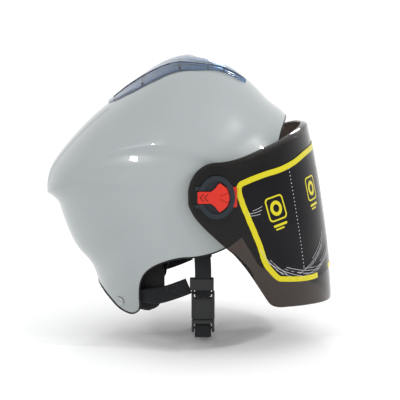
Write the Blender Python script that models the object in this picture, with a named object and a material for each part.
"""Open-face scooter helmet: shell, liner, pads, vents, visor with its locks, and chin strap.

X points to the wearer's front, Y to the wearer's left and Z up.  The origin is in the middle of the head
cavity.  Sizes are written in millimetres and turned into metres where a mesh is made.
"""

import math

import bmesh
import bpy
from mathutils import Vector

MM = 0.001
GAP = 0.3

# Shell: a closed ovoid about its pole, the widest point of the side, cut back to the rim line.
POLE = (-30.0, 22.0)
HALF_WIDTH = 106.0
FULLNESS = 2.25
SKIN_GRID = (40, 16)
SIDE_PROFILE = [
    (116, 22), (110, 60), (87, 91), (70, 105), (50, 125), (25, 142), (-2, 147), (-30, 143), (-60, 126),
    (-100, 95), (-123, 71), (-143, 43), (-148, 25), (-148, 8), (-144, -8), (-137, -28), (-128, -46),
    (-112, -66), (-99, -100), (-77, -128), (-30, -144), (30, -130), (80, -95), (108, -40),
]
RIM_LINE = [
    (-190, -62), (-150, -70), (-118, -74), (-101, -82), (-90, -92), (-80, -101), (-69, -105), (-62, -101),
    (-60, -94), (-60, -84), (-59, -71), (-55, -60), (-47, -52), (-35, -46), (-20, -42), (-5, -41),
    (10, -38), (25, -32), (40, -21), (53, -6), (62, 12), (67, 30), (71, 48), (76, 66), (81, 80), (89, 92),
    (102, 102), (140, 120),
]
OPENING_FRONT = (260, 120)
OPENING_REAR = (-260, -220)
SHELL_WALL = 3.0
LINER_WALL = 20.0
LINER_GAP = 0.8
PAD_WALL = 7.0
LINER_SETBACK = 4.0
LINER_FOOT = -77.0
TRIM_HEIGHT = 1.6
NECK_PAD_DEPTH = 10.5
NECK_PAD_OUTLINE = [
    (-86, -79.5), (-62, -79.5), (-61.5, -71), (-57.5, -60.5), (-50, -51.5), (-39, -46), (-34, -58),
    (-34, -75), (-36, -91), (-42, -101), (-52, -106.5), (-62, -105.5), (-71, -102), (-80, -97), (-87, -90),
]

# Raised dome: everything above the crease stands out, most at the back.
CREASE_TOP = 58.6
CREASE_BEND = 0.0034
STEP_HEIGHT = 15.0
STEP_REAR = 10.0
STEP_SIDE = 1.4
DOME_FADE = 38.0

# Visor: a curved sheet that turns about the Y axis through the pivots.
PIVOT = (15.6, 18.7)
VISOR_HALF_WIDTH = 113.0
VISOR_LENGTH = (111.2, -0.165, -0.00045)
VISOR_TAPER = (-20.0, 0.002)
VISOR_FRONT_SHARE = 0.8
VISOR_TOP_RISE = (33.0, 96.0, 1.5)
VISOR_WALL = 2.2
VISOR_ROUND = 2.1
EAR_RADII = (27.0, 30.5)
LIP_DEPTH = 7.0
LIP_LEAST = 2.7
LIP_SLOPE = 0.28
VISOR_FOOT = [
    (-11.4, 15), (-10.2, 9), (-4.7, -1.3), (4.7, -12), (15, -21.7), (25, -31), (33, -38), (45, -53),
    (56, -70), (64, -83), (69, -90), (77, -93.5), (90, -94.5), (115, -96.5), (140, -100),
]
FILM_OUTLINE = [
    (34, 24), (35, 30), (39, 34), (58, 41), (76, 45.5), (90, 51), (110, 61), (150, 70), (150, -64),
    (132, -66), (112, -70), (82, -67), (74, -64.5), (67, -57), (60, -47), (54, -29), (45, -7), (37, 13),
]
FILM_SPAN = (-74.0, 68.0)
FILM_WALL = 0.4

# Visor lock on each side.
HUB_RADIUS = 11.0
HUB_HOLE = 11.3
RING_OUTER = (17.2, 20.5)
RING_INNER = (12.7, 15.7)
RING_FACE = 118.2
FLOOR_FACE = 115.0
PLATE_RADII = (24.0, 28.0)
PLATE_FACE = 108.0
KEY_FACE = 119.2
BLADE_REACH = 19.3
BLADE_HALF = 9.6
SCREW_OFFSETS = [(-8.0, 20.0), (8.0, -20.0)]
SCREW_HEAD = 2.6
SCREW_SHANK = 1.3
SCREW_SEAT = 2.0
SCREW_SLOT = (4.0, 0.6, 0.5)

# Vents.
COVER_OUTER = [
    (-94, 15), (-91, 23), (-82, 33), (-66, 44), (-42, 52), (0, 51.5), (26, 43.5), (38, 39), (46, 34.6),
]
COVER_INNER = [(-94, 0), (-18, 0), (-12, 8), (-4, 16), (6, 24.5), (18, 31), (30, 34), (46, 34)]
COVER_STATIONS = [-94, -91, -86, -78, -66, -54, -42, -30, -18, -12, -4, 6, 18, 30, 38, 46]
COVER_ACROSS = 6
COVER_RISE = 5.0
COVER_EDGE = 2.2
COVER_WALL = 2.0
COVER_MARGIN = 4.0
VENT_SLOTS = [(-68, 13), (-68, -13), (-11, 35), (-11, -35), (-31, 14), (-31, -14)]
VENT_SLOT_SIZE = (34.0, 11.0)
REAR_VENT = (20.3, 10.6, 23.6)
REAR_SLITS = (3, 3.6, 1.8)

# Webbing and its fittings.
WEB_WIDTH = 16.0
WEB_WALL = 1.4
FRONT_X = 3.0
WEB_CLEARANCE = 1.6
POCKET_SIDE = 1.2
POCKET_FACE = 0.9
RIVET = (-79.0, -91.5)
RIVET_SHANK = 1.9
BUCKLE = (FRONT_X, -77.0, -108.0)
SLIDER_Z = -70.0
SLIDER_Y = 84.5
SOCKET_BAR = 26.0
PLUG_BAR = 9.0
BAR_HALF = 1.1

COLORS = {
    "shell": ((0.46, 0.50, 0.51, 1.0), 0.16, 0.0),
    "vent": ((0.10, 0.15, 0.24, 1.0), 0.15, 0.0),
    "dark": ((0.012, 0.012, 0.014, 1.0), 0.6, 0.0),
    "slate": ((0.020, 0.026, 0.034, 1.0), 0.35, 0.0),
    "red": ((0.68, 0.03, 0.01, 1.0), 0.35, 0.0),
    "smoke": ((0.15, 0.11, 0.09, 1.0), 0.08, 0.0),
    "film": ((0.012, 0.011, 0.012, 1.0), 0.3, 0.0),
    "foam": ((0.02, 0.02, 0.022, 1.0), 0.85, 0.0),
    "pad": ((0.016, 0.016, 0.018, 1.0), 0.95, 0.0),
    "web": ((0.006, 0.007, 0.009, 1.0), 0.85, 0.0),
    "buckle": ((0.035, 0.037, 0.035, 1.0), 0.45, 0.0),
    "steel": ((0.55, 0.56, 0.57, 1.0), 0.25, 1.0),
}


def clear_scene():
    for item in list(bpy.data.objects):
        bpy.data.objects.remove(item, do_unlink=True)


def material(name):
    found = bpy.data.materials.get(name)
    if found:
        return found
    color, roughness, metallic = COLORS[name]
    made = bpy.data.materials.new(name)
    made.use_nodes = True
    shader = made.node_tree.nodes["Principled BSDF"]
    shader.inputs["Base Color"].default_value = color
    shader.inputs["Roughness"].default_value = roughness
    shader.inputs["Metallic"].default_value = metallic
    made.diffuse_color = color
    return made


def smoothstep(value):
    value = min(1.0, max(0.0, value))
    return value * value * (3.0 - 2.0 * value)


def curve_through(points, closed=False, steps=5):
    """Points on a Catmull-Rom curve through the given ones."""
    count = len(points)
    spans = count if closed else count - 1
    found = []
    for i in range(spans):
        if closed:
            a, b, c, d = (points[(i + k) % count] for k in (-1, 0, 1, 2))
        else:
            a, b = points[max(i - 1, 0)], points[i]
            c, d = points[i + 1], points[min(i + 2, count - 1)]
        for k in range(steps):
            t = k / steps
            found.append(tuple(
                0.5 * (2 * q + (r - p) * t + (2 * p - 5 * q + 4 * r - s) * t * t
                       + (3 * q - p - 3 * r + s) * t ** 3)
                for p, q, r, s in zip(a, b, c, d)
            ))
    if not closed:
        found.append(tuple(points[-1]))
    return found


def offset_line(points, distance):
    """An open line moved sideways, to the left of its direction for a positive distance."""
    moved = []
    for i, (x, z) in enumerate(points):
        x0, z0 = points[max(i - 1, 0)]
        x1, z1 = points[min(i + 1, len(points) - 1)]
        length = math.hypot(x1 - x0, z1 - z0)
        moved.append((x - (z1 - z0) / length * distance, z + (x1 - x0) / length * distance))
    return moved


def polar_table():
    table = []
    for x, z in curve_through(SIDE_PROFILE, closed=True, steps=8):
        dx, dz = x - POLE[0], z - POLE[1]
        table.append((math.atan2(dz, dx) % math.tau, math.hypot(dx, dz)))
    table.sort()
    return [(table[-1][0] - math.tau, table[-1][1])] + table + [(table[0][0] + math.tau, table[0][1])]


POLAR = polar_table()


def profile_radius(angle):
    angle %= math.tau
    for (a0, r0), (a1, r1) in zip(POLAR, POLAR[1:]):
        if a0 <= angle <= a1:
            return r0 + (r1 - r0) * (angle - a0) / max(a1 - a0, 1e-9)
    return POLAR[0][1]


def dome_step(x, z):
    """How far the dome stands out at a point seen from the side."""
    crease = CREASE_TOP - CREASE_BEND * (x - POLE[0]) ** 2
    rise = min(1.0, max(0.0, (z - crease) / STEP_HEIGHT + 1.0)) ** 2
    fade = math.exp(-(max(0.0, z - crease) / DOME_FADE) ** 2)
    height = STEP_SIDE + (STEP_REAR - STEP_SIDE) * smoothstep((-x - 50.0) / 95.0)
    return height * rise * fade * smoothstep((40.0 - x) / 70.0 + 0.3)


def skin_point(angle, side, inset):
    """A point of the ovoid: angle about the pole, side from -1 (right) to 1 (left)."""
    beta = side * math.pi / 2
    power = 2.0 / FULLNESS
    across = max(0.0, math.cos(beta)) ** power
    full = profile_radius(angle)
    ahead, up = math.cos(angle), math.sin(angle)
    y = math.copysign((HALF_WIDTH - inset) * abs(math.sin(beta)) ** power, side)
    step = dome_step(POLE[0] + full * across * ahead, POLE[1] + full * across * up)
    outward = Vector((full * across * ahead, y, full * across * up)).normalized()
    reach = (full - inset) * across
    return Vector((POLE[0] + reach * ahead, y, POLE[1] + reach * up)) + outward * step


def skin_y(x, z):
    """Half-width of the ovoid at a point seen from the side, leaving out the dome's step."""
    dx, dz = x - POLE[0], z - POLE[1]
    share = math.hypot(dx, dz) / profile_radius(math.atan2(dz, dx))
    return HALF_WIDTH * max(0.0, 1.0 - share ** FULLNESS) ** (1.0 / FULLNESS)


def make_object(name, body, color, cutter=False):
    bmesh.ops.recalc_face_normals(body, faces=body.faces)
    bmesh.ops.scale(body, vec=(MM, MM, MM), verts=body.verts)
    mesh = bpy.data.meshes.new(name)
    body.to_mesh(mesh)
    body.free()
    made = bpy.data.objects.new(name, mesh)
    bpy.context.scene.collection.objects.link(made)
    if cutter:
        made.hide_render = True
        made.display_type = "WIRE"
    else:
        mesh.materials.append(material(color))
        mesh.shade_smooth()
        mesh.set_sharp_from_angle(angle=math.radians(35))
    return made


def ovoid(inset, turns=SKIN_GRID[0], rows=SKIN_GRID[1]):
    body = bmesh.new()
    rings = []
    for j in range(1, rows):
        side = -1.0 + 2.0 * j / rows
        rings.append([
            body.verts.new(skin_point(math.tau * i / turns, side, inset)) for i in range(turns)
        ])
    poles = [body.verts.new(skin_point(0.0, side, inset)) for side in (-1.0, 1.0)]
    for low, high in zip(rings, rings[1:]):
        for i in range(turns):
            k = (i + 1) % turns
            body.faces.new((low[i], low[k], high[k]))
            body.faces.new((low[i], high[k], high[i]))
    for ring, pole in ((rings[0], poles[0]), (rings[-1], poles[1])):
        for i in range(turns):
            body.faces.new((ring[i], ring[(i + 1) % turns], pole))
    return body


def side_prism(outline, reach=150.0, low=None):
    """A side outline in X and Z, run across in Y."""
    body = bmesh.new()
    start = -reach if low is None else low
    ends = [[body.verts.new((x, y, z)) for x, z in outline] for y in (start, reach)]
    body.faces.new(ends[0])
    body.faces.new(ends[1])
    for i in range(len(outline)):
        k = (i + 1) % len(outline)
        body.faces.new((ends[0][i], ends[0][k], ends[1][k], ends[1][i]))
    return body


def top_prism(outline, low, high):
    """A plan outline in X and Y, run up in Z."""
    body = bmesh.new()
    ends = [[body.verts.new((x, y, z)) for x, y in outline] for z in (low, high)]
    body.faces.new(ends[0])
    body.faces.new(ends[1])
    for i in range(len(outline)):
        k = (i + 1) % len(outline)
        body.faces.new((ends[0][i], ends[0][k], ends[1][k], ends[1][i]))
    return body


def box(low, high, bevel=0.0):
    body = bmesh.new()
    bmesh.ops.create_cube(body, size=1.0)
    for vert in body.verts:
        vert.co = Vector([a + (b - a) * (c + 0.5) for a, b, c in zip(low, high, vert.co)])
    if bevel:
        bmesh.ops.bevel(body, geom=body.edges[:], offset=bevel, segments=2, affect="EDGES", profile=0.5)
    return body


def oval_disc(center, radii, low, high, segments=32):
    """A flat oval block whose faces look along Y."""
    outline = [
        (center[0] + radii[0] * math.cos(math.tau * i / segments),
         center[1] + radii[1] * math.sin(math.tau * i / segments))
        for i in range(segments)
    ]
    body = side_prism(outline, reach=high, low=low)
    return body


def combine(target, tool, operation):
    change = target.modifiers.new(operation.title() + " " + tool.name, "BOOLEAN")
    change.operation = operation
    change.object = tool
    change.solver = "EXACT"
    return target


def settle(target):
    """Replace an object's mesh by its evaluated one and drop its modifiers."""
    bpy.context.view_layer.update()
    graph = bpy.context.evaluated_depsgraph_get()
    mesh = bpy.data.meshes.new_from_object(target.evaluated_get(graph), depsgraph=graph)
    target.modifiers.clear()
    target.data = mesh
    return target


def drop(*tools):
    for tool in tools:
        bpy.data.objects.remove(tool, do_unlink=True)


def cut(target, body, operation="DIFFERENCE"):
    tool = make_object("tool", body, None, cutter=True)
    combine(target, tool, operation)
    settle(target)
    drop(tool)
    return target


def opening_cutter(shift):
    """The head and face opening below and ahead of the rim line moved by shift."""
    rim = offset_line(curve_through(RIM_LINE, steps=2), shift)
    ahead, top = OPENING_FRONT
    rear, bottom = OPENING_REAR
    return side_prism(rim + [(ahead, top), (ahead, bottom), (rear, bottom), (rear, rim[0][1])])


def layer(name, color, outer, inner):
    made = make_object(name, ovoid(outer), color)
    return cut(made, ovoid(inner))


def build_shell():
    shell = layer("outer_shell", "shell", 0.0, SHELL_WALL)
    cut(shell, opening_cutter(0.0))
    for sign in (-1, 1):
        for dx, dz in SCREW_OFFSETS:
            cut(shell, y_cylinder(PIVOT[0] + dx, PIVOT[1] + dz, SCREW_SHANK + GAP, 90, 112, sign))
        cut(shell, round_bar(*rivet_frame(sign), RIVET_SHANK + GAP, -12.0, 8.0))
    for body in vent_cutters(0.0):
        cut(shell, body)
    half, low, high = REAR_VENT
    cut(shell, box((-190, -half, low), (-135, half, high)))
    return shell


def y_cylinder(x, z, radius, near, far, sign, segments=14):
    """A round bar along Y between two distances from the middle plane."""
    low, high = sorted((near * sign, far * sign))
    return oval_disc((x, z), (radius, radius), low, high, segments)


def vent_cutters(grow):
    length, width = VENT_SLOT_SIZE
    bodies = []
    for x, y in VENT_SLOTS:
        outline = []
        for i in range(16):
            turn = math.tau * i / 16
            reach = math.copysign((length - width) / 2, math.cos(turn))
            radius = width / 2 + grow
            outline.append((x + reach + radius * math.cos(turn), y + radius * math.sin(turn)))
        bodies.append(top_prism(outline, 60, 170))
    return bodies


def build_liner():
    liner = layer("eps_liner", "foam", SHELL_WALL + LINER_GAP, SHELL_WALL + LINER_WALL)
    cut(liner, opening_cutter(LINER_SETBACK))
    for body in vent_cutters(-0.5):
        cut(liner, body)
    cut(liner, box((-150.0, -121.0, -151.0), (-31.0, 121.0, LINER_FOOT)))
    for sign in (-1, 1):
        cut(liner, pocket(front_path(sign)[:6]))
    return liner


def oval_outline(center, radii, segments=24, power=2.6):
    """A rounded-rectangle outline, as points."""
    found = []
    for i in range(segments):
        turn = math.tau * (i + 0.5) / segments
        c, s = math.cos(turn), math.sin(turn)
        found.append((
            center[0] + radii[0] * math.copysign(abs(c) ** (2 / power), c),
            center[1] + radii[1] * math.copysign(abs(s) ** (2 / power), s),
        ))
    return found


def build_pads():
    outer = SHELL_WALL + LINER_WALL + GAP
    side_outline = oval_outline((-22.0, -8.0), (41.0, 27.0))
    patches = {
        "crown_pad": top_prism(oval_outline((-24.3, 0.0), (44.0, 40.0)), 80, 170),
        "brow_pad": box((41.3, -47.3, 50), (120, 47.3, 88)),
        "nape_pad": box((-170, -49.3, -54), (-60, 49.3, -5)),
        "side_pad_right": side_prism(side_outline, reach=-40, low=-120),
        "side_pad_left": side_prism(side_outline, reach=120, low=40),
    }
    for name, patch in patches.items():
        pad = layer(name, "pad", outer, outer + PAD_WALL)
        cut(pad, patch, "INTERSECT")
        cut(pad, opening_cutter(LINER_SETBACK + 4.0))
    for sign in (-1, 1):
        low, high = across(sign, 20, 120)
        pad = layer("neck_pad_" + side_name(sign), "pad", NECK_PAD_DEPTH, NECK_PAD_DEPTH + PAD_WALL)
        cut(pad, side_prism(NECK_PAD_OUTLINE, reach=high, low=low), "INTERSECT")


def build_trim():
    trim = layer("edge_trim", "dark", -0.5, SHELL_WALL + 0.2)
    cut(trim, opening_cutter(-GAP - TRIM_HEIGHT))
    return cut(trim, opening_cutter(-GAP), "INTERSECT")


def crown_height(x, y):
    """Height of the ovoid above a point of the plan."""
    across_share = (1.0 - (abs(y) / HALF_WIDTH) ** FULLNESS) ** (1.0 / FULLNESS)
    dx, dz = x - POLE[0], 100.0
    for _ in range(14):
        reach = across_share * profile_radius(math.atan2(dz, dx))
        dz = 0.5 * (dz + math.sqrt(reach * reach - dx * dx))
    return POLE[1] + dz


def cover_rise(x, share):
    """Height of the cover over the shell; share runs from its inner to its outer edge."""
    arm = smoothstep((x - COVER_INNER[1][0]) / 20.0)
    from_crest = (1.0 - arm) * share + arm * abs(2.0 * share - 1.0)
    return COVER_EDGE + (COVER_RISE - COVER_EDGE) * (1.0 - from_crest ** 2)


def cover_block(margin, drop):
    """A block whose top follows the crown, highest along the middle of the cover, with two arms ahead."""
    body = bmesh.new()
    first, last = COVER_STATIONS[0] + margin / 2, COVER_STATIONS[-1] - 4 * margin
    stations = [x for x in COVER_STATIONS if first <= x <= last]
    columns = []
    for x in stations:
        near, far = table_value(COVER_INNER, x), table_value(COVER_OUTER, x) - margin
        near += margin / 2 if near > 0.0 else 0.0
        halves = []
        for sign in (-1, 1):
            points = []
            for k in range(COVER_ACROSS + 1):
                share = k / COVER_ACROSS
                y = sign * (near + (far - near) * share)
                if share == 0.0 and near == 0.0 and halves:
                    points.append(halves[0][0])
                    continue
                top = crown_height(x, y) + cover_rise(x, share) - drop
                points.append((body.verts.new((x, y, top)), body.verts.new((x, y, 60.0))))
            halves.append(points)
        columns.append(halves)
    for before, after in zip(columns, columns[1:]):
        for low, high in zip(before, after):
            for k in range(COVER_ACROSS):
                for skin in (0, 1):
                    corners = [low[k][skin], high[k][skin], high[k + 1][skin], low[k + 1][skin]]
                    body.faces.new(corners[:3])
                    body.faces.new((corners[0], corners[2], corners[3]))
            body.faces.new((low[-1][0], high[-1][0], high[-1][1], low[-1][1]))
        if before[0][0] is not before[1][0] or after[0][0] is not after[1][0]:
            for low, high in zip(before, after):
                ring = [low[0][0], high[0][0], high[0][1], low[0][1]]
                body.faces.new(ring)
    for halves in (columns[0], columns[-1]):
        for points in halves:
            for k in range(COVER_ACROSS):
                body.faces.new((points[k][0], points[k + 1][0], points[k + 1][1], points[k][1]))
    return body


def build_top_vent():
    """The low cover over the crown slots, open underneath."""
    cover = make_object("top_vent_cover", cover_block(0.0, 0.0), "vent")
    cut(cover, cover_block(COVER_MARGIN, COVER_WALL))
    return cut(cover, ovoid(-GAP))


def build_rear_vent():
    half, low, high = REAR_VENT
    vent = layer("rear_vent", "dark", -1.0, SHELL_WALL)
    cut(vent, box((-190, GAP - half, low + GAP), (-130, half - GAP, high - GAP)), "INTERSECT")
    count, pitch, slit = REAR_SLITS
    for i in range(count):
        bottom = low + 2.0 + pitch * i
        cut(vent, box((-190, 3 - half, bottom), (-130, half - 3, bottom + slit)))
    return vent


def visor_axes(z):
    """Plan half-length ahead of the pivot and half-width of the visor at a height."""
    at_zero, slope, bend = VISOR_LENGTH
    start, pinch = VISOR_TAPER
    length = at_zero + slope * z + bend * z * z
    width = VISOR_HALF_WIDTH - pinch * max(0.0, start - z) ** 2
    return length, width


def visor_point(station, z):
    """Visor's outer face; station runs from -1 (right ear) through 0 (front) to 1 (left ear)."""
    length, width = visor_axes(z)
    sign = math.copysign(1.0, station)
    along = abs(station)
    front = VISOR_FRONT_SHARE
    if along > front:
        back = math.sin((along - front) / (1.0 - front) * math.pi / 2) * (EAR_RADII[0] - 0.3)
        return Vector((PIVOT[0] - back, sign * width, z))
    turn = along / front * math.pi / 2
    power = 2.0 / VISOR_ROUND
    return Vector((
        PIVOT[0] + length * math.cos(turn) ** power,
        sign * width * math.sin(turn) ** power,
        z,
    ))


def table_value(points, x):
    if x <= points[0][0]:
        return points[0][1]
    for (x0, z0), (x1, z1) in zip(points, points[1:]):
        if x <= x1:
            return z0 + (z1 - z0) * (x - x0) / (x1 - x0)
    return points[-1][1]


def visor_span(station):
    """Lowest and highest point of the visor at a station."""
    foot_line = curve_through(VISOR_FOOT, steps=4)
    top, foot = 60.0, -60.0
    rise, reach, power = VISOR_TOP_RISE
    for _ in range(8):
        x = visor_point(station, top).x
        share = (x - PIVOT[0]) / EAR_RADII[0]
        if x < PIVOT[0]:
            top = PIVOT[1] + EAR_RADII[1] * math.sqrt(max(0.02, 1.0 - share * share))
        else:
            top = PIVOT[1] + EAR_RADII[1] + rise * min(1.0, (x - PIVOT[0]) / reach) ** power
        foot = 0.5 * foot + 0.5 * table_value(foot_line, visor_point(station, foot).x)
    return foot, top


def visor_normal(station, z):
    step = 1e-3
    along = visor_point(min(1.0, station + step), z) - visor_point(max(-1.0, station - step), z)
    up = visor_point(station, z + 0.5) - visor_point(station, z - 0.5)
    normal = along.cross(up)
    normal.normalize()
    outward = Vector((0.3, station, 0.0)) if abs(station) > 0.3 else Vector((1.0, 0.0, 0.0))
    return normal if normal.dot(outward) > 0 else -normal


def visor_solid(stations, rows):
    body = bmesh.new()
    outer, inner = [], []
    for i in range(stations + 1):
        station = -1.0 + 2.0 * i / stations
        foot, top = visor_span(station)
        out_col, in_col = [], []
        for j in range(rows + 1):
            z = foot + (top - foot) * j / rows
            point = visor_point(station, z)
            normal = visor_normal(station, z)
            out_col.append(point)
            in_col.append(point - normal * VISOR_WALL)
        reach = LIP_LEAST + (LIP_DEPTH - LIP_LEAST) * smoothstep((point.x - 25.0) / 40.0)
        drop = min(1.0, 0.4 * (top - foot) / rows)
        rise = Vector((0, 0, LIP_SLOPE * reach))
        out_col.append(point - normal * 0.45 * reach + 0.45 * rise + Vector((0, 0, 1.2)))
        out_col.append(point - normal * reach + rise + Vector((0, 0, 1.2)))
        in_col[-1] = in_col[-1] - Vector((0, 0, drop))
        turn_in = VISOR_WALL + 0.35 * (reach - VISOR_WALL)
        in_col.append(point - normal * turn_in - Vector((0, 0, 0.8 * drop)))
        in_col.append(point - normal * reach + rise - Vector((0, 0, 0.9 * drop)))
        outer.append([body.verts.new(p) for p in out_col])
        inner.append([body.verts.new(p) for p in in_col])
    count = rows + 3
    for i in range(stations):
        for j in range(count - 1):
            body.faces.new((outer[i][j], outer[i + 1][j], outer[i + 1][j + 1], outer[i][j + 1]))
            body.faces.new((inner[i][j], inner[i][j + 1], inner[i + 1][j + 1], inner[i + 1][j]))
        body.faces.new((outer[i][0], inner[i][0], inner[i + 1][0], outer[i + 1][0]))
        body.faces.new((outer[i][-1], outer[i + 1][-1], inner[i + 1][-1], inner[i][-1]))
    for i in (0, stations):
        for j in range(count - 1):
            body.faces.new((outer[i][j], outer[i][j + 1], inner[i][j + 1], inner[i][j]))
    return body


def build_visor():
    visor = make_object("visor", visor_solid(48, 8), "smoke")
    for sign in (-1, 1):
        cut(visor, y_cylinder(PIVOT[0], PIVOT[1], HUB_HOLE, 95, 125, sign, 32))
    return place_origin(visor, (PIVOT[0], 0, PIVOT[1]))


def build_film():
    body = bmesh.new()
    stations, rows = 30, 7
    low, high = GAP, GAP + FILM_WALL
    skins = []
    for lift in (low, high):
        grid = []
        for i in range(stations + 1):
            station = VISOR_FRONT_SHARE * (-1.0 + 2.0 * i / stations)
            column = []
            for j in range(rows + 1):
                z = FILM_SPAN[0] + (FILM_SPAN[1] - FILM_SPAN[0]) * j / rows
                column.append(body.verts.new(visor_point(station, z) + visor_normal(station, z) * lift))
            grid.append(column)
        skins.append(grid)
    inner, outer = skins
    for i in range(stations):
        for j in range(rows):
            for grid in skins:
                body.faces.new((grid[i][j], grid[i + 1][j], grid[i + 1][j + 1], grid[i][j + 1]))
        body.faces.new((inner[i][0], inner[i + 1][0], outer[i + 1][0], outer[i][0]))
        body.faces.new((inner[i][-1], inner[i + 1][-1], outer[i + 1][-1], outer[i][-1]))
    for i in (0, stations):
        for j in range(rows):
            body.faces.new((inner[i][j], inner[i][j + 1], outer[i][j + 1], outer[i][j]))
    film = make_object("visor_film", body, "film")
    cut(film, side_prism(curve_through(FILM_OUTLINE, closed=True, steps=2)), "INTERSECT")
    return place_origin(film, (PIVOT[0], 0, PIVOT[1]))


def place_origin(made, point):
    """Move an object's origin without moving its shape."""
    shift = Vector(point) * MM
    for vert in made.data.vertices:
        vert.co -= shift
    made.location = shift
    return made


def side_name(sign):
    return "left" if sign > 0 else "right"


def across(sign, near, far):
    return sorted((near * sign, far * sign))


def build_base_plate(sign):
    low, high = across(sign, 90, PLATE_FACE)
    plate = make_object("base_plate_" + side_name(sign), oval_disc(PIVOT, PLATE_RADII, low, high), "dark")
    cut(plate, ovoid(-GAP))
    for dx, dz in SCREW_OFFSETS:
        x, z = PIVOT[0] + dx, PIVOT[1] + dz
        cut(plate, y_cylinder(x, z, SCREW_SHANK + GAP, 90, 112, sign))
        cut(plate, y_cylinder(x, z, SCREW_HEAD + GAP, PLATE_FACE - SCREW_SEAT - GAP, 115, sign))
    return plate


def build_screws(sign):
    """The slotted screws that hold the base plate to the shell."""
    top = PLATE_FACE - 0.4
    length, width, depth = SCREW_SLOT
    for i, (dx, dz) in enumerate(SCREW_OFFSETS, 1):
        x, z = PIVOT[0] + dx, PIVOT[1] + dz
        inner = skin_y(x, z) - SHELL_WALL + 0.6
        head = y_cylinder(x, z, SCREW_HEAD, PLATE_FACE - SCREW_SEAT, top, sign)
        screw = make_object(f"plate_screw_{side_name(sign)}_{i}", head, "steel")
        cut(screw, y_cylinder(x, z, SCREW_SHANK, inner, top - 0.6, sign), "UNION")
        low, high = across(sign, top - depth, top + 1.0)
        cut(screw, box((x - length / 2, low, z - width / 2), (x + length / 2, high, z + width / 2)))


def build_lock_housing(sign):
    name = "lock_housing_" + side_name(sign)
    visor_face = VISOR_HALF_WIDTH + GAP
    low, high = across(sign, visor_face, RING_FACE)
    ring = make_object(name, oval_disc(PIVOT, RING_OUTER, low, high), "slate")
    low, high = across(sign, FLOOR_FACE, RING_FACE + 2)
    cut(ring, oval_disc(PIVOT, RING_INNER, low, high))
    hub = y_cylinder(PIVOT[0], PIVOT[1], HUB_RADIUS, PLATE_FACE + GAP, FLOOR_FACE - 0.5, sign, 32)
    cut(ring, hub, "UNION")
    low, high = across(sign, FLOOR_FACE, RING_FACE + 2)
    cut(ring, box((PIVOT[0] - 24, low, PIVOT[1] - 6.3), (PIVOT[0], high, PIVOT[1] + 6.3)))
    for edge in (-1, 1):
        low, high = across(sign, visor_face, RING_FACE - 1.0)
        middle = PIVOT[1] + edge * 8.4
        arm = box((PIVOT[0] - 20.0, low, middle - 1.8), (PIVOT[0] - 12.5, high, middle + 1.8))
        cut(ring, arm, "UNION")
    low, high = across(sign, visor_face - 1, FLOOR_FACE + 0.2)
    half = BLADE_HALF + 0.4
    cut(ring, box((PIVOT[0] + 2.6, low, PIVOT[1] - half), (PIVOT[0] + 24, high, PIVOT[1] + half)))
    return ring


def key_outline():
    """Side outline of the key: a short tab to the rear and a round-ended fan to the front."""
    points = [
        (-17.9, 5.0), (-17.9, -5.0), (-16.5, -5.7), (-5.5, -5.4), (-1.5, -8.5), (1.5, -12.6), (3.3, -13.6),
    ]
    for i in range(9):
        turn = math.radians(-62 + 124 * i / 8)
        points.append((12.1 * math.cos(turn) - 0.3, 13.6 * math.sin(turn)))
    points += [(3.3, 13.6), (1.5, 12.6), (-1.5, 8.5), (-5.5, 5.4), (-16.5, 5.7)]
    return [(PIVOT[0] + x, PIVOT[1] + z) for x, z in points]


def build_lock_key(sign):
    low, high = across(sign, FLOOR_FACE + GAP, KEY_FACE)
    x, z = PIVOT
    key = make_object("lock_key_" + side_name(sign), side_prism(key_outline(), reach=high, low=low), "red")
    low, high = across(sign, VISOR_HALF_WIDTH + 2 * GAP, FLOOR_FACE - GAP)
    blade = box((x + 7.2, low, z - BLADE_HALF), (x + BLADE_REACH, high, z + BLADE_HALF))
    cut(key, blade, "UNION")
    low, high = across(sign, FLOOR_FACE - 1.0, FLOOR_FACE + 1.0)
    cut(key, box((x + 7.4, low, z - 5.0), (x + 11.0, high, z + 5.0)), "UNION")
    return key


def skin_normal(x, z, sign):
    """Outward direction of the ovoid at a point seen from the side."""
    step = 0.5
    slope_x = (skin_y(x + step, z) - skin_y(x - step, z)) / (2 * step)
    slope_z = (skin_y(x, z + step) - skin_y(x, z - step)) / (2 * step)
    return Vector((-slope_x, sign, -slope_z)).normalized()


def hugging(points, sign):
    """Path points that lie under the shell, each with the shell's own direction."""
    depth = SHELL_WALL + WEB_CLEARANCE + WEB_WALL / 2
    found = []
    for x, z in points:
        normal = skin_normal(x, z, sign)
        found.append((*(Vector((x, skin_y(x, z) * sign, z)) - normal * depth), *normal))
    return found


def free(points, sign):
    """Path points in the open, where the webbing faces outward to its own side."""
    return [(x, y * sign, z, 0.0, sign, 0.0) for x, y, z in points]


def front_path(sign):
    """The front leg: out of the shell's edge and down through the slider."""
    path = hugging([(FRONT_X, z) for z in (14.0, 0.0, -14.0, -28.0, -42.0)], sign)
    return path + free([(FRONT_X, 91.0, -56.0), (FRONT_X, 84.5, -70.0)], sign)


def rear_path(sign):
    """The rear leg: from the rivet in the lobe forward to the slider."""
    path = hugging([(-88.0, -87.0), (-78.0, -91.0), (-68.0, -91.0), (-58.0, -88.0)], sign)
    return path + free([(-42.0, 80.5, -84.0), (-26.0, 83.0, -79.0), (-11.0, 84.4, -73.0)], sign)


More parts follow.
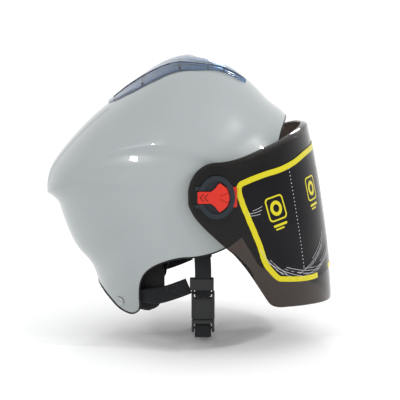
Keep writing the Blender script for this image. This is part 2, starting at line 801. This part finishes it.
def ribbon(path, width=None, wall=None, lengthen=0.0):
    """A flat band along a path of points, each with the direction that the band faces there."""
    width = width or WEB_WIDTH
    wall = wall or WEB_WALL
    body = bmesh.new()
    points = [Vector(p[:3]) for p in path]
    facings = [Vector(p[3:]) for p in path]
    if lengthen:
        points[0] += (points[0] - points[1]).normalized() * lengthen
        points[-1] += (points[-1] - points[-2]).normalized() * lengthen
    sections = []
    for i, (point, facing) in enumerate(zip(points, facings)):
        along = (points[min(i + 1, len(points) - 1)] - points[max(i - 1, 0)]).normalized()
        wide = along.cross(facing).normalized()
        thick = wide.cross(along).normalized()
        corners = []
        for a, b in ((-1, -1), (1, -1), (1, 1), (-1, 1)):
            corners.append(body.verts.new(point + wide * (a * width / 2) + thick * (b * wall / 2)))
        sections.append(corners)
    for low, high in zip(sections, sections[1:]):
        for i in range(4):
            k = (i + 1) % 4
            body.faces.new((low[i], low[k], high[k], high[i]))
    body.faces.new(sections[0])
    body.faces.new(sections[-1])
    return body


def pocket(path):
    """The room that a band needs around itself."""
    return ribbon(path, WEB_WIDTH + 2 * POCKET_SIDE, WEB_WALL + 2 * POCKET_FACE, lengthen=2.0)


def wrap_around(center, radius, start, end, steps=8):
    """Arc points in the YZ plane around a bar, angles in degrees from +Y, facing outward."""
    x, y, z = center
    found = []
    for i in range(steps + 1):
        turn = math.radians(start + (end - start) * i / steps)
        c, s = math.cos(turn), math.sin(turn)
        found.append((x, y + radius * c, z + radius * s, 0.0, c, s))
    return found


def facing_along(points, flip=1.0):
    """Give each point of a YZ path the direction square to the path."""
    found = []
    for i, (x, y, z) in enumerate(points):
        _, y0, z0 = points[max(i - 1, 0)]
        _, y1, z1 = points[min(i + 1, len(points) - 1)]
        length = math.hypot(y1 - y0, z1 - z0)
        found.append((x, y, z, 0.0, flip * (z1 - z0) / length, -flip * (y1 - y0) / length))
    return found


def strap_paths():
    """Every band by name, as points with facings."""
    x, y, z = BUCKLE
    upper = (x, y, z + SOCKET_BAR)
    lower = (x, y, z - PLUG_BAR)
    loop = BAR_HALF + 0.7 + WEB_WALL / 2 + GAP
    right = curve_through(front_path(-1), steps=2)
    right += free([(x, 80.9, -77.0)], -1) + wrap_around(upper, loop, 180, 360)
    right += [(x, y + loop + 0.3, upper[2] + 8.0, 0.0, 1.0, 0.0)]
    chin = curve_through(
        [(x, 72, -94), (x, 60, -113), (x, 42, -128), (x, 20, -136), (x, -5, -139), (x, -32, -137),
         (x, -54, -130), (x, -68, -122.5)], steps=2)
    left = curve_through(front_path(1), steps=2) + free([(x, 79.6, -82.0)], 1) + facing_along(chin, -1.0)
    left += [(a, b, c, 0.0, -e, -f) for a, b, c, _, e, f in wrap_around(lower, loop, -30, 180)]
    left += [(x, y - loop - 0.3, lower[2] - 9.0, 0.0, 1.0, 0.0)]
    return {
        "strap_front_right": right,
        "strap_rear_right": curve_through(rear_path(-1), steps=2),
        "strap_rear_left": curve_through(rear_path(1), steps=2),
        "chin_strap": left,
    }


def rivet_frame(sign):
    """Surface point and outward direction at the rivet."""
    x, z = RIVET
    return Vector((x, skin_y(x, z) * sign, z)), skin_normal(x, z, sign)


def round_bar(point, direction, radius, start, end, segments=14):
    """A round bar along a direction, between two distances from a point."""
    body = bmesh.new()
    first = direction.orthogonal().normalized()
    second = direction.cross(first)
    rings = []
    for reach in (start, end):
        ring = []
        for i in range(segments):
            turn = math.tau * i / segments
            spoke = first * math.cos(turn) + second * math.sin(turn)
            ring.append(body.verts.new(point + direction * reach + spoke * radius))
        body.faces.new(ring)
        rings.append(ring)
    for i in range(segments):
        k = (i + 1) % segments
        body.faces.new((rings[0][i], rings[0][k], rings[1][k], rings[1][i]))
    return body


def build_straps():
    for name, path in strap_paths().items():
        strap = make_object(name, ribbon(path), "web")
        for sign in (-1, 1):
            if name == "strap_rear_" + side_name(sign):
                cut(strap, round_bar(*rivet_frame(sign), RIVET_SHANK + GAP, -14.0, 4.0))


def build_slider(sign):
    """The divider where the front and rear legs meet."""
    y = SLIDER_Y * sign
    body = box((FRONT_X - 13.0, y - 3.6, SLIDER_Z - 7.0), (FRONT_X + 10.5, y + 3.6, SLIDER_Z + 5.0), 0.8)
    slider = make_object("strap_slider_" + side_name(sign), body, "buckle")
    paths = strap_paths()
    front = paths["strap_front_right"] if sign < 0 else paths["chin_strap"]
    cut(slider, ribbon(front, WEB_WIDTH + 2 * GAP, WEB_WALL + 1.0))
    rear = paths["strap_rear_" + side_name(sign)]
    cut(slider, ribbon(rear, WEB_WIDTH + 2 * GAP, WEB_WALL + 1.0, lengthen=GAP))
    return slider


def build_buckle():
    x, y, z = BUCKLE
    body = box((x - 11.5, y - 4.6, z), (x + 11.5, y + 4.6, z + 28.5), 1.4)
    socket = make_object("buckle_socket", body, "buckle")
    cut(socket, box((x - 9.4, y - 2.7, z - 2), (x + 9.4, y + 2.7, z + 19.0)))
    cut(socket, box((x - 14.0, y - 2.7, z + 5.0), (x + 14.0, y + 2.7, z + 13.5)))
    cut_bar_window(socket, z + 21.4, z + 31.0, z + SOCKET_BAR)
    body = box((x - 11.3, y - 4.2, z - 13.0), (x + 11.3, y + 4.2, z - GAP), 1.2)
    plug = make_object("buckle_plug", body, "buckle")
    cut_bar_window(plug, z - 15.0, z - 4.2, z - PLUG_BAR)
    cut(plug, box((x - 1.2, y - 1.8, z - 2.0), (x + 1.2, y + 1.8, z + 17.5)), "UNION")
    for edge, name in ((-1, "buckle_prong_rear"), (1, "buckle_prong_front")):
        outline = [
            (3.8, GAP), (5.8, GAP), (6.6, 4.0), (11.2, 6.2), (11.2, 12.0), (8.6, 13.2), (7.2, 17.0),
            (5.0, 17.0),
        ]
        prong = side_prism([(x + edge * a, z + b) for a, b in outline], reach=y + 2.2, low=y - 2.2)
        make_object(name, prong, "buckle")


def cut_bar_window(target, low, high, bar):
    """Open a window for the webbing and leave a thin bar across it."""
    x, y, _ = BUCKLE
    cut(target, box((x - 8.7, y - 6, low), (x + 8.7, y + 6, high)))
    low_corner = (x - 9.5, y - BAR_HALF, bar - BAR_HALF)
    cut(target, box(low_corner, (x + 9.5, y + BAR_HALF, bar + BAR_HALF)), "UNION")


def build_rivet(sign):
    """The round rivet that holds the rear leg of the webbing in the lobe."""
    frame = rivet_frame(sign)
    depth = SHELL_WALL + WEB_CLEARANCE + WEB_WALL + 1.0
    rivet = make_object("strap_rivet_" + side_name(sign), round_bar(*frame, 4.2, 0.45, 1.9, 24), "steel")
    cut(rivet, round_bar(*frame, RIVET_SHANK, -depth, 1.0), "UNION")
    return rivet


def main():
    clear_scene()
    build_shell()
    build_liner()
    build_pads()
    build_trim()
    build_top_vent()
    build_rear_vent()
    build_visor()
    build_film()
    for sign in (-1, 1):
        build_base_plate(sign)
        build_screws(sign)
        build_lock_housing(sign)
        build_lock_key(sign)
        build_slider(sign)
        build_rivet(sign)
    build_straps()
    build_buckle()


main()
